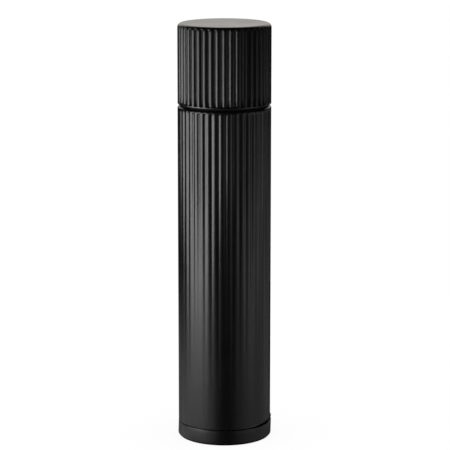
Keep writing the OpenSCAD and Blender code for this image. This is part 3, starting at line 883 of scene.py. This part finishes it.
rod_low, rod_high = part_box("valve_stem")
waist_r = stem_r - 0.35 * MM
rod_outline = rounded([
    (0, rod_low.z, 0), (stem_r, rod_low.z, 0), (stem_r, rod_low.z + 1.6 * MM, 0.1 * MM),
    (waist_r, rod_low.z + 1.9 * MM, 0.1 * MM), (waist_r, rod_low.z + 2.6 * MM, 0.1 * MM),
    (stem_r, rod_low.z + 2.9 * MM, 0.1 * MM), (stem_r, rod_high.z, 0.35 * MM),
    (0, rod_high.z, 0)], 5)
place(skin("stem", revolve(rod_outline, 64)), "button", "valve_stem", "steel", steel)

valve_low, valve_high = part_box("valve_disc")
dip_z = valve_low.z + 0.5 * MM
valve_outline = rounded([
    (0, valve_low.z, 0), (3.4 * MM, valve_low.z, 0.3 * MM),
    (4.0 * MM, dip_z, 0.3 * MM), (8.6 * MM, dip_z, 0.3 * MM),
    (9.2 * MM, valve_low.z, 0.3 * MM), (valve_high.x, valve_low.z, 0.9 * MM),
    (valve_high.x, valve_high.z, 0.15 * MM), (0, valve_high.z, 0)], 6)
place(skin("valve_plate", revolve(valve_outline, 144)), "button", "valve_disc", "black_plastic",
      black_plastic)

lips_low, lips_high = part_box("valve_seal")
lips_in_r = stem_r + 0.2 * MM
lips_flat = lips_high.z - 0.4 * MM
lips_outline = rounded([
    (lips_in_r, lips_low.z, 0.1 * MM), (lips_high.x, lips_low.z, 0.15 * MM),
    (lips_high.x, lips_flat, 0.15 * MM), (10.5 * MM, lips_high.z, 0.2 * MM),
    (9.3 * MM, lips_high.z, 0.2 * MM), (8.5 * MM, lips_flat, 0.15 * MM),
    (lips_in_r, lips_flat, 0.15 * MM)], 5)
place(skin("valve_lips", revolve(lips_outline, 144)), "button", "valve_seal", "silicone",
      silicone)


# ---------------------------------------------------------------------------------------------
# Studio. A pale floor, a strong softbox on the left with three weaker panels beside and behind it,
# three weak panels on the right, and a pale screen high at the back. A long lens looks down on
# the flask.

floor_half = 6
floor_mesh = bpy.data.meshes.new("floor")
floor_mesh.from_pydata([(x * floor_half, y * floor_half, 0)
                        for x, y in ((-1, -1), (1, -1), (1, 1), (-1, 1))], [], [(0, 1, 2, 3)])
floor = bpy.data.objects.new("floor", floor_mesh)
bpy.context.scene.collection.objects.link(floor)
pale, _, _ = finish("pale_floor", Base_Color=(0.1, 0.1, 0.1, 1), Roughness=0.9,
                    Specular_IOR_Level=0.0, Emission_Color=(1, 1, 1, 1), Emission_Strength=0.9)
floor_mesh.materials.append(pale)
floor.visible_glossy = False
floor.visible_shadow = False


def panel(name, turn, width, low, top, radiance, away=0.6, colour=(1, 1, 1), lean=0):
    """An upright light that faces the flask's axis from away metres: turn is its bearing in
    degrees, 0 in front and positive to the right, and lean tips its face down. Only gloss
    reflects it. Its power is radiance x area x pi."""
    lamp = bpy.data.lights.new(name, "AREA")
    lamp.shape = "RECTANGLE"
    lamp.size, lamp.size_y = width, top - low
    lamp.energy = radiance * lamp.size * lamp.size_y * math.pi
    lamp.color = colour
    made = bpy.data.objects.new(name, lamp)
    angle = math.radians(turn)
    made.location = (away * math.sin(angle), -away * math.cos(angle), (low + top) / 2)
    made.rotation_euler = (math.pi / 2 - math.radians(lean), 0, angle)
    made.visible_diffuse = False
    made.visible_camera = False
    bpy.context.scene.collection.objects.link(made)
    return made


panel("left_box", -66, 0.55, -0.03, 0.25, 6.2)
panel("left_table", -61, 1.08, -0.20, -0.10, 1.05)
panel("left_rear", -115, 0.42, -0.33, -0.09, 0.6)
panel("left_back", -160, 0.45, -0.40, -0.05, 0.22)
panel("right_back", 163, 0.42, -0.40, -0.13, 0.14)
panel("right_box", 66, 0.25, -0.07, 0.21, 0.85)
panel("right_table", 83, 1.95, -0.31, 0.11, 0.3)
panel("back_screen", 180, 2.4, 0.39, 1.6, 1.35, away=1.6, colour=(1.0, 0.97, 0.92), lean=12)

world = bpy.data.worlds.new("studio")
bpy.context.scene.world = world
world.use_nodes = True
world.node_tree.nodes["Background"].inputs["Color"].default_value = (1, 1, 1, 1)
world.node_tree.nodes["Background"].inputs["Strength"].default_value = 1.1
world.cycles_visibility.glossy = False
bpy.context.scene.view_settings.view_transform = "Standard"

lens = bpy.data.cameras.new("camera")
lens.sensor_width = 36
lens.lens = 171.0
camera = bpy.data.objects.new("camera", lens)
tilt = 0.1996
camera.location = (0.0004, -1.4667, 0.4479)
camera.rotation_euler = (math.pi / 2 - tilt, 0, 0)
bpy.context.scene.collection.objects.link(camera)
bpy.context.scene.camera = camera
